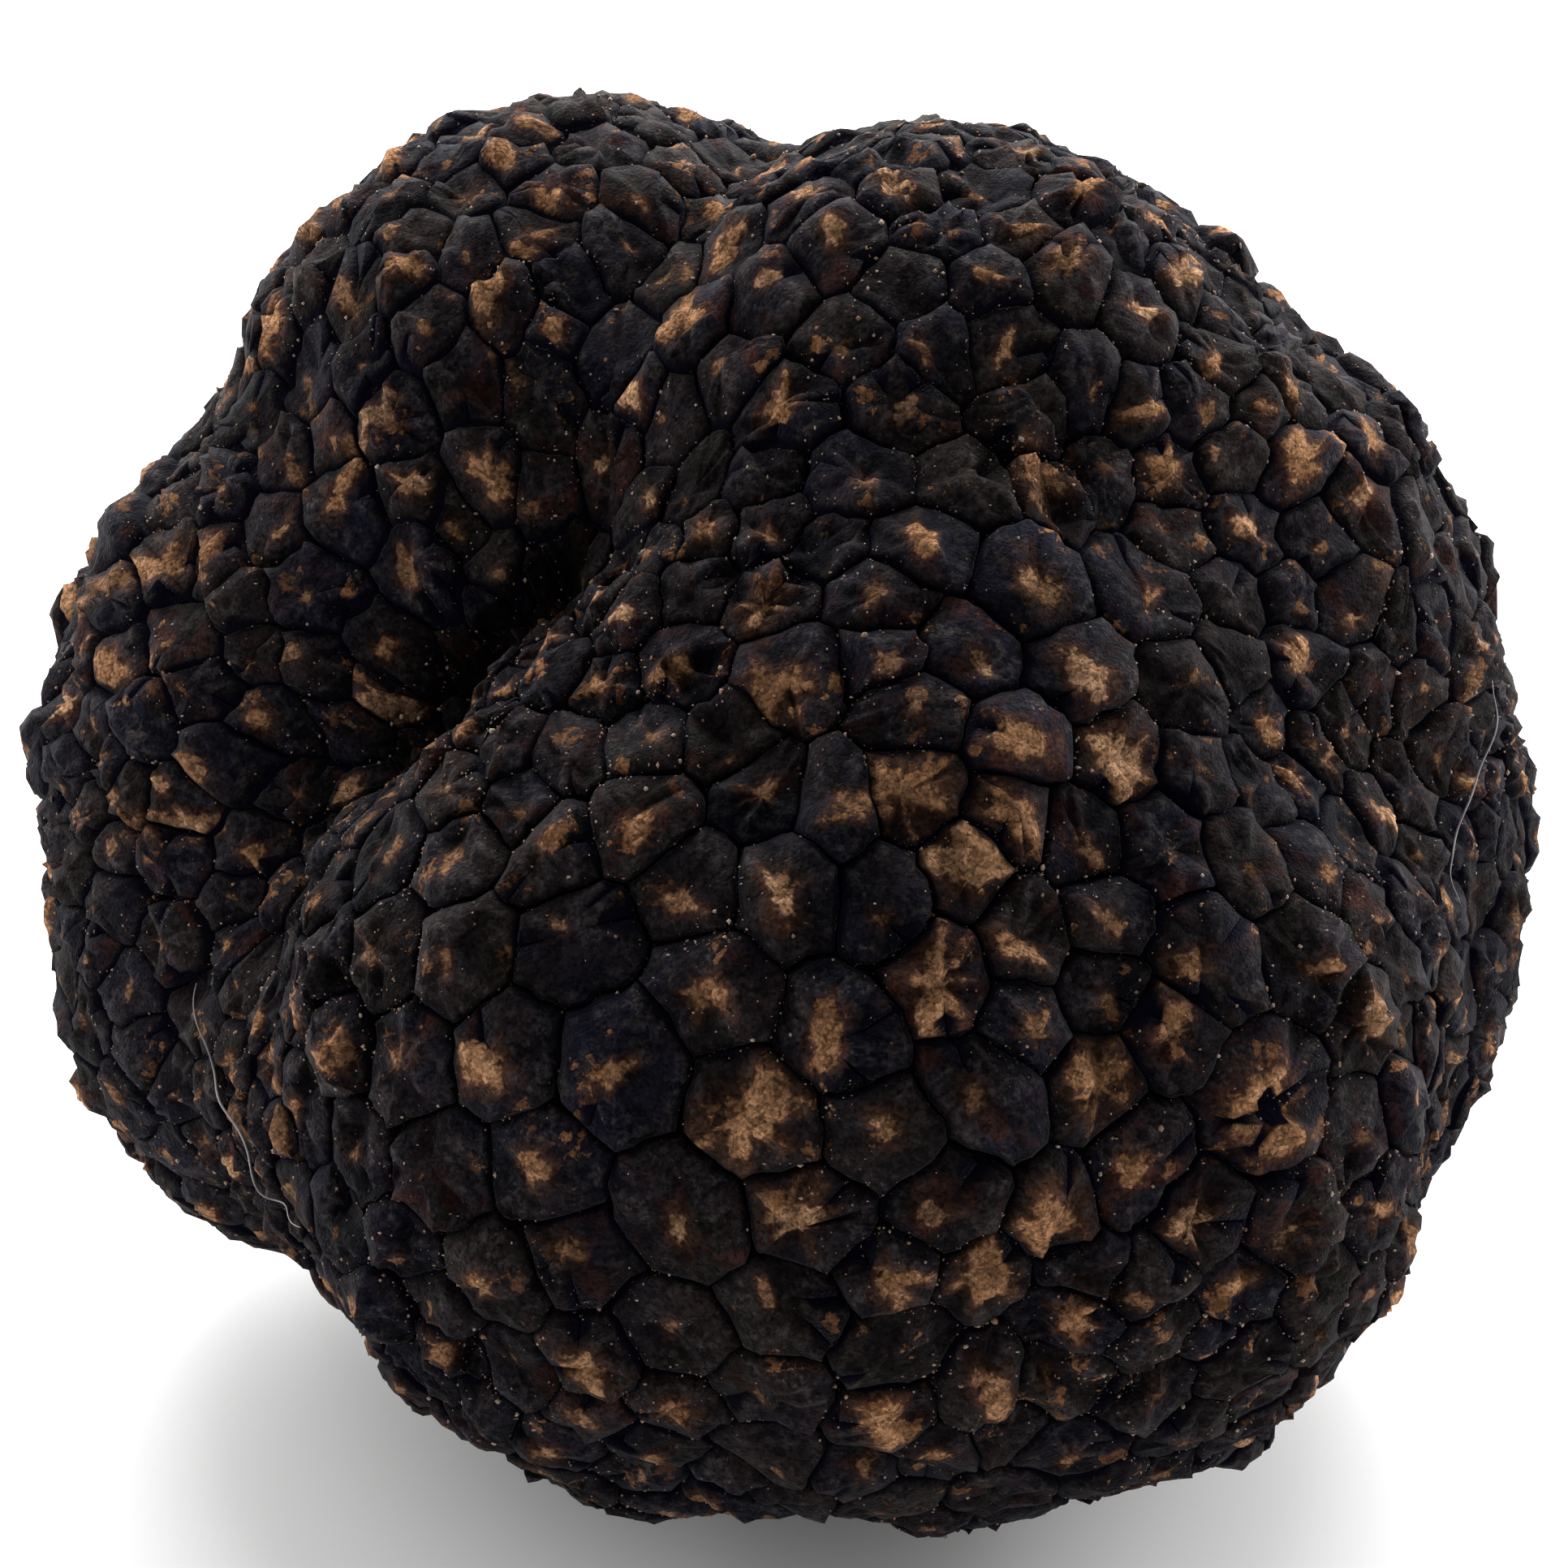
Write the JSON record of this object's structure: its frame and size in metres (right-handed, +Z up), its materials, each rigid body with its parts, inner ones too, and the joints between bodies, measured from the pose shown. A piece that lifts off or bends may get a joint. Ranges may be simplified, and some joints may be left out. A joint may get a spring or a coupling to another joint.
{
  "type": "black truffle",
  "caption": "Whole fresh black truffle: a lobed, folded fruit body covered all over by low polygonal warts, lying on a small flat spot.",
  "frame": {"origin": "on the surface the truffle lies on, under the middle of its outline seen from above", "axes": "+Z up, +X to the right across the broad front, -Y towards the viewer of the front"},
  "size_m": [0.0494, 0.0476, 0.0401],
  "materials": {
    "rind": "matte, near-black warty rind (peridium) with narrow dark cracks and worn tan-brown crowns on many warts"
  },
  "bodies": {
    "root": {"truffle": "rind"}
  },
  "joints": []
}
